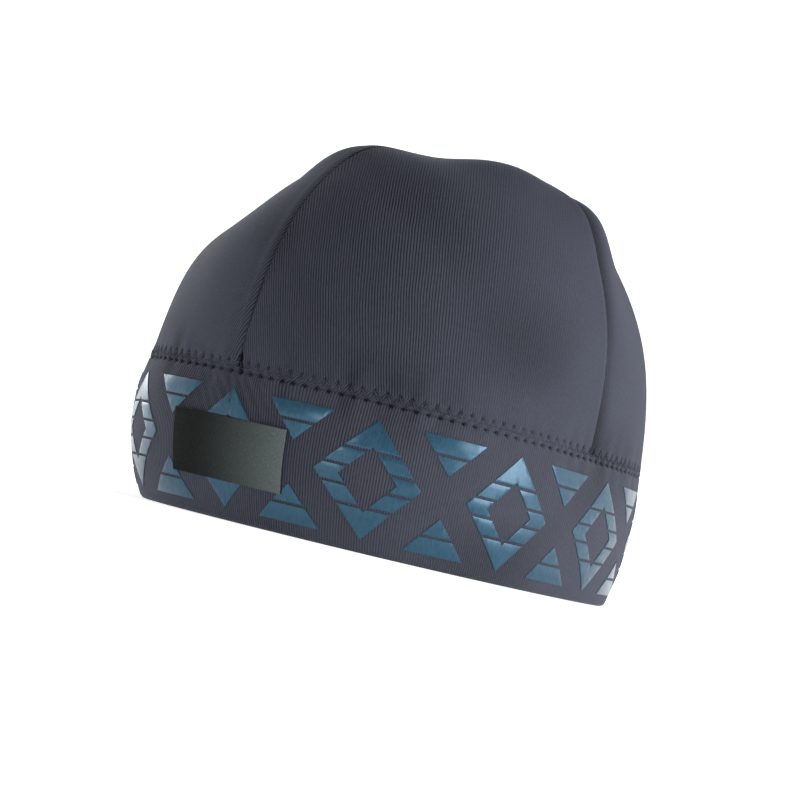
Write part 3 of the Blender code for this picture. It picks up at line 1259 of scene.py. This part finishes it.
floor = start_piece("seamless_floor", bpy.ops.mesh.primitive_grid_add,
                    x_subdivisions=FLOOR_CELLS, y_subdivisions=FLOOR_CELLS, size=2 * FLOOR_HALF)
points = places(floor)
beyond = np.clip(np.hypot(points[:, 0], points[:, 1]) - FLAT_RADIUS, 0, BOWL_RADIUS)
points[:, 2] = BOWL_RADIUS - np.sqrt(BOWL_RADIUS ** 2 - beyond ** 2)
put(floor, points)
floor.data.shade_smooth()
paper, tree, shader = new_material("pale_paper", Roughness=0.9, Specular_IOR_Level=0.1)
clouds = noise(tree, object_place(tree), 3.0)
colour(tree, shader, clouds, (0.90, 0.90, 0.90, 1.0), (0.93, 0.93, 0.93, 1.0))
x, y, _ = split(tree, object_place(tree))
towards_front = number(tree, "ADD", number(tree, "MULTIPLY", x, FRONT_WAY[0]),
                       number(tree, "MULTIPLY", y, FRONT_WAY[1]))
outwards = number(tree, "SQRT", number(tree, "ADD", number(tree, "MULTIPLY", x, x),
                                        number(tree, "MULTIPLY", y, y)))
glow = spread(tree, towards_front, *FRONT_FADE, 1.0, FRONT_GLOW / PAPER_GLOW)
near_glow = spread(tree, outwards, *NEAR_FADE, NEAR_GLOW, PAPER_GLOW)
glow = number(tree, "MULTIPLY", glow, near_glow)
grey = tree.nodes.new("ShaderNodeCombineColor")
for socket in grey.inputs[:3]:
    tree.links.new(glow, socket)
tree.links.new(grey.outputs[0], shader.inputs["Emission Color"])
shader.inputs["Emission Strength"].default_value = 1.0
paint(floor, paper)

# %% Lights
world = bpy.data.worlds.new("studio_air")
bpy.context.scene.world = world
world.use_nodes = True
air = world.node_tree.nodes["Background"]
air.inputs["Color"].default_value = (0.96, 0.98, 1.0, 1.0)
air.inputs["Strength"].default_value = 0.22
bpy.context.scene.view_settings.view_transform = "Standard"

SOFTBOXES = (
    # name, azimuth, elevation, distance, width, power
    ("left_softbox", -100.0, 20.0, 1.5, 0.9, 7.0),
    ("right_softbox", 106.0, 18.0, 1.5, 1.0, 16.0),
    ("front_softbox", 12.0, 6.0, 2.0, 0.7, 5.0),
)
for name, turn, up, away, width, power in SOFTBOXES:
    lamp = bpy.data.lights.new(name, "AREA")
    lamp.shape = "DISK"
    lamp.size = width
    lamp.energy = power
    light = bpy.data.objects.new(name, lamp)
    bpy.context.scene.collection.objects.link(light)
    light.location = way_to(turn, up) * away
    light.rotation_mode = "QUATERNION"
    light.rotation_quaternion = light.location.to_track_quat("Z", "Y")

# %% Camera
# Turn and rise in degrees, distance and target in metres, lens in millimetres
CAMERA_TURN = 35.96
CAMERA_RISE = -2.8
CAMERA_ROLL = math.radians(13.5)
CAMERA_DISTANCE = 0.862
CAMERA_LENS = 104.8
CAMERA_TARGET = (0.0054, -0.0094, 0.0570)

eye = bpy.data.cameras.new("camera")
eye.lens = CAMERA_LENS
eye.sensor_width = 36.0
eye.clip_start = 0.01
camera = bpy.data.objects.new("camera", eye)
bpy.context.scene.collection.objects.link(camera)
camera.location = np.array(CAMERA_TARGET) + way_to(CAMERA_TURN, CAMERA_RISE) * CAMERA_DISTANCE
camera.rotation_mode = "QUATERNION"
looking = (camera.location - type(camera.location)(CAMERA_TARGET)).to_track_quat("Z", "Y")
camera.rotation_quaternion = looking @ type(looking)((0.0, 0.0, 1.0), CAMERA_ROLL)
bpy.context.scene.camera = camera
print("the camera is", round(camera.location.z * 1000, 1), "mm above the floor")
